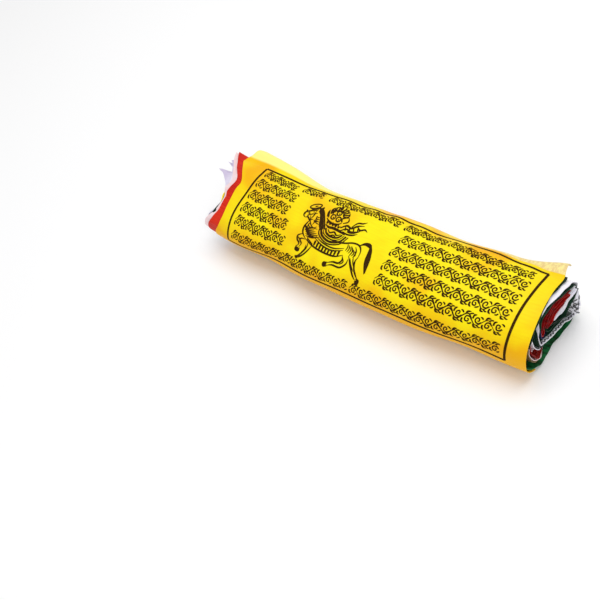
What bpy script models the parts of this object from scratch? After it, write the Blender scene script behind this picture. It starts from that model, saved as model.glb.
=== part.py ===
"""A roll of prayer flags, lying on its broad side.

A string of satin flags, sewn along one edge to a heading tape, is folded back and forth at
the flags' ends and wound up. The solids are the string's last flag, which wraps the roll and
has a loose margin, the other flags wound up inside it, and the folded bundle of their tape.
Metres, +X along the roll, +Y towards the heading, +Z up, z = 0 on the surface it lies on.
"""

import math

import bmesh
import bpy
from mathutils import Vector

MM = 0.001

# The flag and its cloth
FLAG_WIDTH = 178 * MM
CLOTH = 1.0 * MM

# The flattened roll's section, and how it changes along the roll
HALF_BREADTH = 24.5 * MM
HALF_HEIGHT = 15.3 * MM
SQUARENESS = 2.18
BREADTH_TAPER = -0.02
HEIGHT_TAPER = -0.04
FULLER_FAR_EDGE = 0.245
FULLER_CHANGE = -0.324
SIDE_BOW = -2.6 * MM
SAG = -1.1 * MM
REST_HEIGHT = 13.8 * MM

# Soft unevenness of the whole roll: size, waves in its length, waves round it, start in degrees
SWELLS = (
    (0.40 * MM, 1.5, 2, 40),
    (0.30 * MM, 3.0, 3, 20),
    (0.20 * MM, 4.5, 5, 200),
)

# The last flag, in degrees round the roll from its far edge over the top
HEM_TURN = 228
LEAVE_TURN = 62
MARGIN = 15 * MM
MARGIN_FOLLOWS = 42
LIFT_STARTS = 1.8 * MM
LIFT_RISES_OVER = 7.5 * MM
LEFT_LIFT = 4.2 * MM
RIGHT_LIFT = 3.4 * MM
LEFT_LIFT_REACH = 46 * MM
RIGHT_LIFT_REACH = 27 * MM
FLAG_STATIONS = 21
FLAG_STEPS = 24
MARGIN_STEPS = 8
# Where its ends wander: turn in degrees, and how far the left and right end stand out
FLAG_ENDS = (
    (18, 1.0 * MM, -4.0 * MM),
    (42, 5.3 * MM, -3.0 * MM),
    (57, 7.8 * MM, -1.0 * MM),
    (71, 5.2 * MM, -0.9 * MM),
    (84, 1.3 * MM, -0.8 * MM),
    (115, -2.6 * MM, 0.0 * MM),
    (148, -0.2 * MM, 1.0 * MM),
    (180, 2.0 * MM, 1.6 * MM),
    (228, 1.0 * MM, 1.0 * MM),
)
ENDS_TAKE_UP = 30 * MM

# The flags wound inside, once round: turn in degrees, and the depths of the band's two faces
WOUND_ROUND = (
    (32, 2.4 * MM, 6.2 * MM),
    (48, 1.6 * MM, 5.4 * MM),
    (62, 1.5 * MM, 5.2 * MM),
    (90, 1.45 * MM, 5.2 * MM),
    (140, 1.45 * MM, 6.0 * MM),
    (180, 1.45 * MM, 7.2 * MM),
    (235, 1.45 * MM, 6.6 * MM),
    (256, 0.3 * MM, 6.2 * MM),
    (285, 0.3 * MM, 6.0 * MM),
)
# and on into the core: turn counted on, across and up from the roll's middle, half thickness
WOUND_CORE = (
    (302, 11.6 * MM, -10.2 * MM, 2.3 * MM),
    (320, 11.0 * MM, -6.2 * MM, 1.9 * MM),
    (344, 10.2 * MM, -1.0 * MM, 1.9 * MM),
    (368, 7.8 * MM, 4.0 * MM, 1.9 * MM),
    (396, 2.4 * MM, 6.9 * MM, 1.8 * MM),
    (424, -4.2 * MM, 7.0 * MM, 1.8 * MM),
    (454, -9.6 * MM, 4.8 * MM, 1.8 * MM),
    (484, -12.6 * MM, 0.4 * MM, 1.8 * MM),
    (512, -10.6 * MM, -4.2 * MM, 1.8 * MM),
    (540, -5.0 * MM, -5.9 * MM, 1.7 * MM),
    (566, 1.4 * MM, -5.2 * MM, 1.5 * MM),
    (592, 5.4 * MM, -2.3 * MM, 1.3 * MM),
    (616, 4.8 * MM, 1.0 * MM, 1.3 * MM),
    (644, 0.4 * MM, 2.7 * MM, 1.2 * MM),
    (672, -4.8 * MM, 1.9 * MM, 1.1 * MM),
    (690, -7.8 * MM, 0.2 * MM, 0.9 * MM),
)
ROUND_EVERY = 11
BAND_STATIONS = 13
BAND_STEPS = 104
# How far its ends stand out: turn, left end's outer and inner layers, right end
WOUND_ENDS = (
    (32, 11.0 * MM, 10.0 * MM, 2.2 * MM),
    (50, 12.0 * MM, 12.0 * MM, 2.6 * MM),
    (70, 9.5 * MM, 13.0 * MM, 3.0 * MM),
    (88, 4.4 * MM, 11.0 * MM, 2.6 * MM),
    (110, 3.8 * MM, 7.0 * MM, 1.8 * MM),
    (142, 8.0 * MM, 9.0 * MM, 0.8 * MM),
    (168, 8.6 * MM, 7.6 * MM, 0.0 * MM),
    (192, 5.4 * MM, 5.0 * MM, -0.8 * MM),
    (228, 2.6 * MM, 2.4 * MM, -0.6 * MM),
    (300, 1.4 * MM, 1.2 * MM, 0.4 * MM),
    (424, -1.0 * MM, -1.0 * MM, -1.6 * MM),
    (690, -4.0 * MM, -4.0 * MM, -5.0 * MM),
)
# The steps across its ends: share of the thickness, and which layers those are
LEFT_STEP = (0.36, 0.44)
RIGHT_STEP = (0.14, 0.2)
RIGHT_SKIN_REACH = 0.2

# The heading tape, folded back and forth at the flags' ends, in the notch beside the core
TAPE_WIDTH = 11 * MM
TAPE_THICK = 1.05 * MM
TAPE_FOLDS = 4
TAPE_PITCH = 1.5 * MM
TAPE_OUTER_RUN = 18 * MM
TAPE_BELOW_MIDDLE = 7 * MM
TAPE_LEAN = 1.2 * MM
TAPE_LOOP_LEFT = 3.6 * MM
TAPE_LOOP_RIGHT = 2.2 * MM
TAPE_RUN_STATIONS = 9
TAPE_LOOP_STEPS = 6
TAPE_ROWS = 4

YELLOW = (0.93, 0.70, 0.02, 1)
GREEN = (0.01, 0.21, 0.07, 1)
WHITE = (0.80, 0.79, 0.83, 1)
SATIN_ROUGHNESS = 0.42
TAPE_ROUGHNESS = 0.85


def eased(share):
    share = min(max(share, 0.0), 1.0)
    return share * share * (3 - 2 * share)


def between(table, at, column):
    """Reads a table at a value of its first column, smoothly between its rows."""
    if at <= table[0][0]:
        return table[0][column]
    for low, high in zip(table, table[1:]):
        if at <= high[0]:
            share = eased((at - low[0]) / (high[0] - low[0]))
            return low[column] + share * (high[column] - low[column])
    return table[-1][column]


def spread(count, low, high):
    return [low + (high - low) * i / (count - 1) for i in range(count)]


def section(turn, depth):
    """A point across the roll: its turn in degrees, and its depth under the surface."""
    power = 2 / SQUARENESS
    cosine, sine = math.cos(math.radians(turn)), math.sin(math.radians(turn))
    deeper = max(depth, 0.0) / HALF_HEIGHT
    breadth = HALF_BREADTH - depth - (HALF_BREADTH - HALF_HEIGHT) * deeper * deeper
    height = HALF_HEIGHT - depth
    return Vector((
        breadth * math.copysign(abs(cosine) ** power, cosine),
        height * math.copysign(abs(sine) ** power, sine),
    ))


def placed(along, across):
    """Takes a point of the plain section to its place along the bowed, tapering, uneven roll."""
    share = along / FLAG_WIDTH
    middle = 1 - 4 * share * share
    turn = math.atan2(across.y, across.x)
    uneven = 0.0
    for size, waves, rounds, start in SWELLS:
        uneven += size * math.sin(rounds * turn + math.radians(start) + 2 * math.pi * waves * share)
    swollen = 1 + uneven / HALF_BREADTH
    y = across.x * (1 + BREADTH_TAPER * share) * swollen
    z = across.y * (1 + HEIGHT_TAPER * share) * swollen
    z *= 1 + (FULLER_FAR_EDGE + FULLER_CHANGE * share) * y / HALF_BREADTH
    return Vector((along, y + SIDE_BOW * middle, max(z + SAG * middle + REST_HEIGHT, 0.0)))


def stand_out(point, left, right):
    """Moves a point near an end of the roll outwards by its share of the end's reach."""
    past = max(0.0, (abs(point.x) - (FLAG_WIDTH / 2 - ENDS_TAKE_UP)) / ENDS_TAKE_UP) ** 2
    point.x += past * (right if point.x > 0 else -left)
    return point


def strip_solid(name, upper, lower, material, left_rows=(), right_rows=()):
    """A solid between two grids of points, closed round its edges.

    Each grid is a list of stations, and each station a list of points. The extra rows lie
    between the two grids at the first and the last station, where an end has steps.
    """
    maker = bmesh.new()

    def vertices(rows):
        return [[maker.verts.new(point) for point in row] for row in rows]

    top, under = vertices(upper), vertices(lower)
    first_end = [top[0], *vertices(left_rows), under[0]]
    last_end = [top[-1], *vertices(right_rows), under[-1]]
    for grid in (top, under, first_end, last_end):
        for row, following in zip(grid, grid[1:]):
            for corners in zip(row, row[1:], following[1:], following):
                maker.faces.new(corners)
    sides = [first_end, *([top[k], under[k]] for k in range(1, len(top) - 1)), last_end]
    for edge in (0, -1):
        for rows, following in zip(sides, sides[1:]):
            corners = [row[edge] for row in rows] + [row[edge] for row in reversed(following)]
            maker.faces.new(corners)
    bmesh.ops.recalc_face_normals(maker, faces=maker.faces)
    mesh = bpy.data.meshes.new(name)
    maker.to_mesh(mesh)
    maker.free()
    mesh.shade_smooth()
    mesh.set_sharp_from_angle(angle=math.radians(40))
    mesh.materials.append(material)
    piece = bpy.data.objects.new(name, mesh)
    bpy.context.scene.collection.objects.link(piece)
    return piece


def cloth_material(name, colour, roughness):
    material = bpy.data.materials.new(name)
    material.use_nodes = True
    shader = material.node_tree.nodes["Principled BSDF"]
    shader.inputs["Base Color"].default_value = colour
    shader.inputs["Roughness"].default_value = roughness
    shader.inputs["Metallic"].default_value = 0.0
    return material


def lift(along):
    """How far the loose margin stands off the roll: most at its two corners."""
    reach, most = (LEFT_LIFT_REACH, LEFT_LIFT) if along < 0 else (RIGHT_LIFT_REACH, RIGHT_LIFT)
    return most * eased(1 - (FLAG_WIDTH / 2 - abs(along)) / reach)


def last_flag():
    """The yellow flag: from its hem under the near edge, over the top, to its loose margin."""
    wrapped = [(turn, 0.0) for turn in spread(FLAG_STEPS, HEM_TURN, LEAVE_TURN)]
    margin = [
        (LEAVE_TURN - MARGIN_FOLLOWS * distance / MARGIN, distance)
        for distance in spread(MARGIN_STEPS + 1, 0.0, MARGIN)[1:]
    ]
    grids = []
    for depth in (0.0, CLOTH):
        grid = []
        for along in spread(FLAG_STATIONS, -FLAG_WIDTH / 2, FLAG_WIDTH / 2):
            row = []
            for turn, distance in wrapped + margin:
                raised = lift(along) * eased((distance - LIFT_STARTS) / LIFT_RISES_OVER)
                point = placed(along, section(turn, depth - raised))
                row.append(stand_out(point, between(FLAG_ENDS, turn, 1), between(FLAG_ENDS, turn, 2)))
            grid.append(row)
        grids.append(grid)
    return strip_solid("last_flag", *grids, cloth_material("yellow_satin", YELLOW, SATIN_ROUGHNESS))


def wound_path():
    """The wound band's path across the roll, as turn, outer face's point and inner face's point."""
    knots = []
    turn = WOUND_ROUND[0][0]
    while turn <= WOUND_ROUND[-1][0]:
        outer, inner = (section(turn, between(WOUND_ROUND, turn, face)) for face in (1, 2))
        knots.append((turn, *outer, *inner))
        turn += ROUND_EVERY
    middles = [Vector((across, up)) for turn, across, up, half in WOUND_CORE]
    entry = (Vector(knots[-1][1:3]) + Vector(knots[-1][3:5])) / 2
    before, after = [entry, *middles[:-1]], [*middles[1:], middles[-1]]
    for (turn, across, up, half), start, middle, end in zip(WOUND_CORE, before, middles, after):
        heading = (end - start).normalized()
        outward = Vector((heading.y, -heading.x)) * half
        knots.append((turn, *(middle + outward), *(middle - outward)))
    lead_in, lead_out = ([2 * a - b for a, b in zip(*pair)] for pair in (knots[:2], knots[:-3:-1]))
    knots = [lead_in, *knots, lead_out]
    path = []
    for place in spread(BAND_STEPS, 0.0, len(knots) - 3):
        span = min(int(place), len(knots) - 4)
        t = place - span
        weights = (
            (-t + 2 * t ** 2 - t ** 3) / 2,
            (2 - 5 * t ** 2 + 3 * t ** 3) / 2,
            (t + 4 * t ** 2 - 3 * t ** 3) / 2,
            (-t ** 2 + t ** 3) / 2,
        )
        four = knots[span:span + 4]
        turn, *faces = (sum(w * knot[c] for w, knot in zip(weights, four)) for c in range(5))
        path.append((turn, Vector(faces[:2]), Vector(faces[2:])))
    return path


def wound_row(along, share):
    """The band's points at one place along the roll, at a share of its thickness from outside."""
    row = []
    for turn, outer, inner in wound_path():
        point = placed(along, outer.lerp(inner, share))
        left = between(WOUND_ENDS, turn, 1 if share <= LEFT_STEP[0] else 2)
        right = between(WOUND_ENDS, turn, 3)
        if share <= RIGHT_STEP[0]:
            right *= RIGHT_SKIN_REACH
        row.append(stand_out(point, left, right))
    return row


def wound_flags():
    """The other flags as one wound band: once round under the last, and on into the core."""
    stations = spread(BAND_STATIONS, -FLAG_WIDTH / 2, FLAG_WIDTH / 2)
    upper = [wound_row(along, 0.0) for along in stations]
    lower = [wound_row(along, 1.0) for along in stations]
    left_rows = [wound_row(stations[0], share) for share in LEFT_STEP]
    right_rows = [wound_row(stations[-1], share) for share in RIGHT_STEP]
    material = cloth_material("green_satin", GREEN, SATIN_ROUGHNESS)
    return strip_solid("wound_flags", upper, lower, material, left_rows, right_rows)


def tape_route():
    """The folded tape's middle line, seen from above: runs joined by half-round loops.

    Each entry is a place along the roll, a distance inwards, and the way the cloth faces.
    """
    half, radius = FLAG_WIDTH / 2, TAPE_PITCH / 2
    left_loop, right_loop = -half - TAPE_LOOP_LEFT + radius, half + TAPE_LOOP_RIGHT - radius
    route = []
    for run in range(TAPE_FOLDS):
        inwards = run * TAPE_PITCH
        direction = 1 if run % 2 == 0 else -1
        start = left_loop if direction > 0 else right_loop
        end = right_loop if direction > 0 else left_loop
        for place in spread(TAPE_RUN_STATIONS, start, end):
            route.append((place, inwards, (0.0, direction)))
        if run == TAPE_FOLDS - 1:
            break
        for angle in spread(TAPE_LOOP_STEPS + 1, 0.0, math.pi)[1:-1]:
            route.append((
                end + direction * radius * math.sin(angle),
                inwards + radius - radius * math.cos(angle),
                (-math.sin(angle), direction * math.cos(angle)),
            ))
    return route


def heading_tape():
    """The white heading tape of the wound flags, in a bundle of folded runs on their edges."""
    heights = spread(TAPE_ROWS, 0.0, TAPE_WIDTH)
    grids = [[], []]
    for place, inwards, (along_way, in_way) in tape_route():
        for grid, side in zip(grids, (-TAPE_THICK / 2, TAPE_THICK / 2)):
            along = place + side * along_way
            across = TAPE_OUTER_RUN - inwards - side * in_way
            row = []
            for height in heights:
                lean = TAPE_LEAN * (height / TAPE_WIDTH - 0.5)
                row.append(placed(along, Vector((across - lean, height - TAPE_BELOW_MIDDLE))))
            grid.append(row)
    return strip_solid("heading_tape", *grids, cloth_material("white_tape", WHITE, TAPE_ROUGHNESS))


def main():
    for old in list(bpy.data.objects):
        bpy.data.objects.remove(old)
    last_flag()
    wound_flags()
    heading_tape()


main()
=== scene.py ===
"""The looks of a roll of prayer flags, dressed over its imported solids.

The last flag, the flags wound inside it and the folded heading tape are thin sheets of satin and
twill. The print is a layer of ink on the cloth: a frame, rows of vine and a running horse that
carries flaming jewels.
"""

import math
import random

import bpy
import numpy as np
from mathutils import Matrix, Vector


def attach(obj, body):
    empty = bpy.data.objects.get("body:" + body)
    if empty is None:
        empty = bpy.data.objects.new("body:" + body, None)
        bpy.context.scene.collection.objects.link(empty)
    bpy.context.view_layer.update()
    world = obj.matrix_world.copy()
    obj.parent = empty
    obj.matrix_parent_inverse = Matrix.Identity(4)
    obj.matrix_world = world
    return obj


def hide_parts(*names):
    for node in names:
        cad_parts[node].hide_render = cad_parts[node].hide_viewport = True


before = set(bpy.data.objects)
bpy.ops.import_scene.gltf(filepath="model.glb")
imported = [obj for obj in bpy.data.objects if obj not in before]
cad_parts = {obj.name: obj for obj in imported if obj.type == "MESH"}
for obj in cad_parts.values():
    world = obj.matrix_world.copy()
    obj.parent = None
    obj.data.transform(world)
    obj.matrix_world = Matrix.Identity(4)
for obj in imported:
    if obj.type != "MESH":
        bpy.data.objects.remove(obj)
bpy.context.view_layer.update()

MM = 0.001

# The roll, as in the part's source
FLAG_WIDTH = 178 * MM
HALF_WIDTH = FLAG_WIDTH / 2
HALF_BREADTH = 24.5 * MM
HALF_HEIGHT = 15.3 * MM
SQUARENESS = 2.18
BREADTH_TAPER = -0.02
HEIGHT_TAPER = -0.04
FULLER_FAR_EDGE = 0.245
FULLER_CHANGE = -0.324
SIDE_BOW = -2.6 * MM
SAG = -1.1 * MM
REST_HEIGHT = 13.8 * MM
SWELLS = ((0.40 * MM, 1.5, 2, 40), (0.30 * MM, 3.0, 3, 20), (0.20 * MM, 4.5, 5, 200))
ENDS_TAKE_UP = 30 * MM

# The last flag, in degrees round the roll, and where its ends wander: turn, and reach in mm
HEM_TURN = 228
LEAVE_TURN = 62
MARGIN = 15 * MM
MARGIN_FOLLOWS = 42
LIFT_STARTS = 1.8 * MM
LIFT_RISES_OVER = 7.5 * MM
LEFT_LIFT = 4.2 * MM
LEFT_LIFT_REACH = 46 * MM
RIGHT_LIFT = 3.4 * MM
RIGHT_LIFT_REACH = 27 * MM
LEFT_ENDS = (
    (18, 1.0), (42, 5.3), (57, 8.3), (69, 5.3), (79, 2.0), (86, -0.5), (91, -1.6), (98, -0.8),
    (111, -1.1), (132, -1.4), (144, -1.0), (158, -0.2), (181, 1.7), (228, 1.0),
)
RIGHT_ENDS = (
    (18, -5.4), (42, -3.8), (52, -2.3), (64, -1.35), (80, -1.3), (95, -0.8), (112, -0.2),
    (148, 1.0), (180, 1.6), (228, 1.0),
)
SATIN_THICK = 0.26 * MM
FLAG_DEPTH = 0.3 * MM

# The print, in mm along the roll and down the cloth from the turn where its frame starts
FRAME_TURN = 58.2
TOP_LINE = (
    (-80, -0.3), (-50, -1.0), (-20, -2.4), (10, -3.3), (30, -3.8), (55, -3.2), (70, -1.4), (81, 0.6),
)
BOTTOM_LINE = ((-80, 45.0), (-40, 43.6), (0, 43.2), (40, 44.2), (81, 46.4))


def eased(share):
    """The same share, with a soft start and end."""
    share = np.clip(share, 0.0, 1.0)
    return share * share * (3 - 2 * share)


def between(table, at, column):
    """Reads a table at values of its first column, smoothly between its rows."""
    keys = np.array([row[0] for row in table], float)
    values = np.array([row[column] for row in table], float)
    at = np.asarray(at, float)
    low = np.clip(np.searchsorted(keys, at) - 1, 0, len(keys) - 2)
    share = eased((at - keys[low]) / (keys[low + 1] - keys[low]))
    return values[low] + share * (values[low + 1] - values[low])


def hump(at, middle, wide):
    """1 at the middle, falling to nothing at about twice the width from it."""
    return np.exp(-(((at - middle) / wide) ** 2))


def section(turn, depth):
    """Across and up from the roll's middle, at a turn in degrees and a depth under its surface."""
    power = 2 / SQUARENESS
    cosine, sine = np.cos(np.radians(turn)), np.sin(np.radians(turn))
    deeper = np.maximum(depth, 0.0) / HALF_HEIGHT
    breadth = HALF_BREADTH - depth - (HALF_BREADTH - HALF_HEIGHT) * deeper * deeper
    height = HALF_HEIGHT - depth
    return (
        breadth * np.sign(cosine) * np.abs(cosine) ** power,
        height * np.sign(sine) * np.abs(sine) ** power,
    )


def placed(along, across, up, rests_at=0.0):
    """Takes points of the plain section to their places on the bowed, tapering, uneven roll."""
    share = along / FLAG_WIDTH
    middle = 1 - 4 * share * share
    turn = np.arctan2(up, across)
    uneven = sum(
        size * np.sin(rounds * turn + math.radians(start) + 2 * math.pi * waves * share)
        for size, waves, rounds, start in SWELLS
    )
    swollen = 1 + uneven / HALF_BREADTH
    y = across * (1 + BREADTH_TAPER * share) * swollen
    z = up * (1 + HEIGHT_TAPER * share) * swollen
    z = z * (1 + (FULLER_FAR_EDGE + FULLER_CHANGE * share) * y / HALF_BREADTH)
    z = np.maximum(z + SAG * middle + REST_HEIGHT, rests_at)
    return np.stack(np.broadcast_arrays(along, y + SIDE_BOW * middle, z), -1)


def stood_out(along, left, right):
    """How far a point near an end of the roll moves along it, by its share of the end's reach."""
    past = np.maximum(0.0, (np.abs(along) - (HALF_WIDTH - ENDS_TAKE_UP)) / ENDS_TAKE_UP) ** 2
    return past * np.where(along > 0, right, -left)


def curve_through(points, count):
    """A smooth curve through points, sampled evenly from the first to the last."""
    points = np.asarray(points, float)
    ends = [2 * points[0] - points[1]], [2 * points[-1] - points[-2]]
    knots = np.concatenate([ends[0], points, ends[1]])
    place = np.linspace(0, len(points) - 1, count)
    low = np.minimum(place.astype(int), len(points) - 2)
    t = (place - low)[:, None]
    weights = (
        (-t + 2 * t**2 - t**3) / 2,
        (2 - 5 * t**2 + 3 * t**3) / 2,
        (t + 4 * t**2 - 3 * t**3) / 2,
        (-(t**2) + t**3) / 2,
    )
    return sum(weight * knots[low + k] for k, weight in enumerate(weights))


def evened(curve, count):
    """The same curve with its points the same distance apart across the roll."""
    lengths = np.concatenate([[0], np.cumsum(np.hypot(*np.diff(curve[:, :2], axis=0).T))])
    at = np.linspace(0, lengths[-1], count)
    return np.column_stack([np.interp(at, lengths, column) for column in curve.T])


# Cloth as surfaces


class Surface:
    """A sheet of cloth: a place on the roll for each distance along it and down it."""

    step = 0.05 * MM

    def raised(self, along, down, height):
        """Points a height above the cloth's middle, on its outer side."""
        here = self.at(along, down)
        run = self.at(along + self.step, down) - self.at(along - self.step, down)
        drop = self.at(along, down + self.step) - self.at(along, down - self.step)
        normal = np.cross(drop, run)
        normal /= np.maximum(np.linalg.norm(normal, axis=-1, keepdims=True), 1e-12)
        return here + normal * np.asarray(height)[..., None]


class LastFlag(Surface):
    """The yellow flag round the roll. Down is measured from the top of the print's frame."""

    # How high its folds stand, in mm
    long_folds = 0.13
    slanting_folds = 0.10
    puckers = 0.22
    crest = 0.25
    hollow = 1.3
    # How many times a point's flat place is worked out again from its place on the roll
    settling = 8

    def __init__(self):
        turns = np.linspace(LEAVE_TURN - MARGIN_FOLLOWS, HEM_TURN, 800)
        across, up = section(turns, FLAG_DEPTH)
        lengths = np.concatenate([[0], np.cumsum(np.hypot(np.diff(across), np.diff(up)))])
        self.turns = turns
        self.downs = lengths - np.interp(FRAME_TURN, turns, lengths)
        self.top, self.bottom = self.downs[0], self.downs[-1]
        self.reaches = [curve_through(table, 400) for table in (LEFT_ENDS, RIGHT_ENDS)]

    def turn(self, down):
        return np.interp(down, self.downs, self.turns)

    def at(self, along, down):
        """Points at a distance along the roll and down the cloth."""
        along, down = np.broadcast_arrays(along, down)
        turn = self.turn(down)
        flat = along
        for _ in range(self.settling):
            flat = along - stood_out(flat, *self.ends(turn))
        left = flat < 0
        most = np.where(left, LEFT_LIFT, RIGHT_LIFT)
        reach = np.where(left, LEFT_LIFT_REACH, RIGHT_LIFT_REACH)
        lift = most * eased(1 - (HALF_WIDTH - np.abs(flat)) / reach)
        off = MARGIN * (LEAVE_TURN - turn) / MARGIN_FOLLOWS
        raised = lift * eased((off - LIFT_STARTS) / LIFT_RISES_OVER)
        depth = FLAG_DEPTH - raised - self.creases(flat, down)
        return placed(flat, *section(turn, depth), rests_at=SATIN_THICK / 2) + np.stack(
            [along - flat, np.zeros_like(flat), np.zeros_like(flat)], -1
        )

    def ends(self, turn):
        return [np.interp(turn, *reach.T) * MM for reach in self.reaches]

    def edge(self, down, side):
        """Where the cloth ends, at the left or right, for each distance down it."""
        left, right = self.ends(self.turn(down))
        return -HALF_WIDTH - left if side < 0 else HALF_WIDTH + right

    def creases(self, along, down):
        """Soft folds: long ones on the face, puckers over the top, a crest where the margin begins."""
        x, s = along / MM, down / MM
        long_folds = self.long_folds * np.sin(s / 4.6 + 0.9 * np.sin(x / 31) + 0.4)
        slant = self.slanting_folds * np.sin((x + 0.8 * s) / 8.5 + 1.2 * np.sin(x / 40 + 1))
        near_top = hump(s, -1, 6.5) * hump(x, 2, 42)
        puckers = self.puckers * near_top * np.sin(x / 2.6 + 1.1 * np.sin(x / 13))
        past = s - between(TOP_LINE, x, 1)
        near_ends = eased((x - 34) / 34) + 0.3 * eased((-30 - x) / 30)
        edge = near_ends * (self.crest * hump(past, -1.9, 1.0) - self.hollow * hump(past, -4.0, 1.0))
        return (long_folds + slant + puckers + edge) * MM


class Layer(Surface):
    """A flag inside the roll. Its rows give across, up and how far its end stands out, in mm.

    Flutes are waves near the left and the right end: height and length in mm, and start in radians.
    Curl is how far the left end bends to and fro, in mm.
    """

    uneven_edge = 0.22
    ripple = 0.10
    flutes_start = 22 * MM
    flutes_grow_over = 28 * MM
    curl_starts = 2 * MM
    curl_length = 7.5

    def __init__(self, left_rows, right_rows, rests_at, flutes, seed, curl):
        self.rests_at = rests_at * MM
        self.flutes = flutes
        self.seed = seed
        self.curl = curl
        dense = [evened(curve_through(rows, 700), 500) for rows in (left_rows, right_rows)]
        steps = sum(np.hypot(*np.diff(curve[:, :2], axis=0).T) for curve in dense) / 2
        self.lengths = np.concatenate([[0], np.cumsum(steps)]) * MM
        self.length = self.lengths[-1]
        self.curves = []
        for curve in dense:
            heading = np.gradient(curve[:, :2], axis=0)
            heading /= np.maximum(np.linalg.norm(heading, axis=1, keepdims=True), 1e-9)
            self.curves.append(np.column_stack([curve, heading[:, 1], -heading[:, 0]]) * MM)

    def read(self, down, side, column):
        return np.interp(down, self.lengths, self.curves[side][:, column])

    def edge(self, down, side):
        """Where the cloth ends, at the left or right, for each distance down it."""
        s = down / MM
        uneven = self.uneven_edge * np.sin(s / 3.1 + self.seed) + 0.14 * np.sin(s / 1.3 + 2 * self.seed)
        out = HALF_WIDTH + self.read(down, 0 if side < 0 else 1, 2) + uneven * MM
        return side * out

    def at(self, along, down):
        """Points at a distance along the roll and down the cloth."""
        along, down = np.broadcast_arrays(along, down)
        right = eased(along / FLAG_WIDTH + 0.5)
        s, x = down / MM, along / MM
        across, up, out_y, out_z = (
            (1 - right) * self.read(down, 0, column) + right * self.read(down, 1, column)
            for column in (0, 1, 3, 4)
        )
        ripple = self.ripple * np.sin(x / 5.5 + s / 4 + self.seed) + 0.08 * np.sin(s / 2.2 + 3 * self.seed)
        for side, (size, length, start) in zip((-1, 1), self.flutes):
            if size:
                near = eased((side * along - (HALF_WIDTH - self.flutes_start)) / self.flutes_grow_over)
                ripple = ripple + near * size * np.sin(s * 2 * math.pi / length + start)
        if self.curl:
            past = np.maximum(0.0, -along - (HALF_WIDTH + self.curl_starts)) / MM
            wave = np.sin(past * 2 * math.pi / self.curl_length + 0.25 * np.sin(s / 2))
            ripple = ripple + self.curl * wave * eased(past / 4)
        return placed(along, across + ripple * out_y, up + ripple * out_z, rests_at=self.rests_at)


class FoldedTape(Surface):
    """The heading tape, folded back and forth on its edge. Along is measured down its length."""

    width = 11 * MM
    thick = 0.42 * MM
    pitch = 1.08 * MM
    outer_run = 18.6 * MM
    below_middle = 7.1 * MM
    lean = 1.4 * MM
    # How far its bends stand out past the flags' width, in mm, from the outermost inwards
    left_out = (3.4, 2.6, 3.8, 2.0)
    right_out = (1.0, 1.7, 2.5)
    bend_starts = 1.2
    bend_reach = 1.5
    wander = 0.12

    def __init__(self):
        # The plan of its route: runs from end to end, each with a bend to the next
        plan = []
        pitch = self.pitch / MM
        half = HALF_WIDTH / MM - self.bend_starts
        runs = 2 * len(self.right_out)
        for run in range(runs):
            inwards = run * pitch
            way = 1 if run % 2 == 0 else -1
            left = -half - self.left_out[(run + 1) // 2]
            right = half + self.right_out[run // 2]
            places = np.linspace(left, right, 24)[::way]
            plan += [(x, inwards + self.wander * math.sin(x / 9 + run)) for x in places]
            if run < runs - 1:
                for angle in np.linspace(0, math.pi, 9)[1:-1]:
                    swell = 1.0 + 0.5 * math.sin(angle)
                    plan.append((
                        places[-1] + way * self.bend_reach * math.sin(angle) * swell,
                        inwards + pitch * (0.5 - 0.5 * swell * math.cos(angle)),
                    ))
        self.plan = curve_through(plan, 2400) * MM
        steps = np.hypot(*np.diff(self.plan, axis=0).T)
        self.lengths = np.concatenate([[0], np.cumsum(steps)])
        self.length = self.lengths[-1]

    def at(self, along, down):
        """Points at a distance along the tape's length and up from its lower edge."""
        along, down = np.broadcast_arrays(along, down)
        place = np.interp(along, self.lengths, self.plan[:, 0])
        inwards = np.interp(along, self.lengths, self.plan[:, 1])
        across = self.outer_run - inwards - self.lean * (down / self.width - 0.5)
        return placed(place, across, down - self.below_middle)


# Meshes

SHARP_FROM = math.radians(55)


def piece_from(name, points, faces, flat=None, thick=0.0, material=None, smooth=True):
    """Makes a piece of the object from points and faces, with its flat places as a UV map in mm."""
    mesh = bpy.data.meshes.new(name)
    mesh.from_pydata(np.asarray(points).reshape(-1, 3).tolist(), [], [list(f) for f in faces])
    if flat is not None:
        layer = mesh.uv_layers.new(name="flat")
        loops = np.zeros(len(mesh.loops), np.int32)
        mesh.loops.foreach_get("vertex_index", loops)
        layer.data.foreach_set("uv", (np.asarray(flat).reshape(-1, 2)[loops] / MM).ravel())
    piece = bpy.data.objects.new(name, mesh)
    bpy.context.scene.collection.objects.link(piece)
    if material:
        mesh.materials.append(material)
    if thick:
        thicken = piece.modifiers.new("thickness", "SOLIDIFY")
        thicken.thickness = thick
        thicken.offset = 0.0
        thicken.use_even_offset = False
        bpy.context.view_layer.update()
        graph = bpy.context.evaluated_depsgraph_get()
        ready = bpy.data.meshes.new_from_object(piece.evaluated_get(graph))
        piece.modifiers.clear()
        piece.data = ready
    if smooth:
        piece.data.shade_smooth()
        piece.data.set_sharp_from_angle(angle=SHARP_FROM)
    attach(piece, "root")
    return piece


def grid_faces(rows, columns):
    index = np.arange(rows * columns).reshape(rows, columns)
    corners = index[:-1, :-1], index[1:, :-1], index[1:, 1:], index[:-1, 1:]
    return np.stack([c.ravel() for c in corners], -1)


def cloth_piece(name, surface, downs, shares, thick, material):
    """A sheet between its left and right edges, as a fine grid made as thick as the cloth."""
    downs = np.asarray(downs)[None, :]
    shares = np.asarray(shares)[:, None]
    left, right = surface.edge(downs, -1), surface.edge(downs, 1)
    along = left + (right - left) * shares
    down = np.broadcast_to(downs, along.shape)
    points = surface.at(along, down)
    flat = np.stack([along, down], -1)
    return piece_from(name, points, grid_faces(*along.shape), flat, thick, material)


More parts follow.
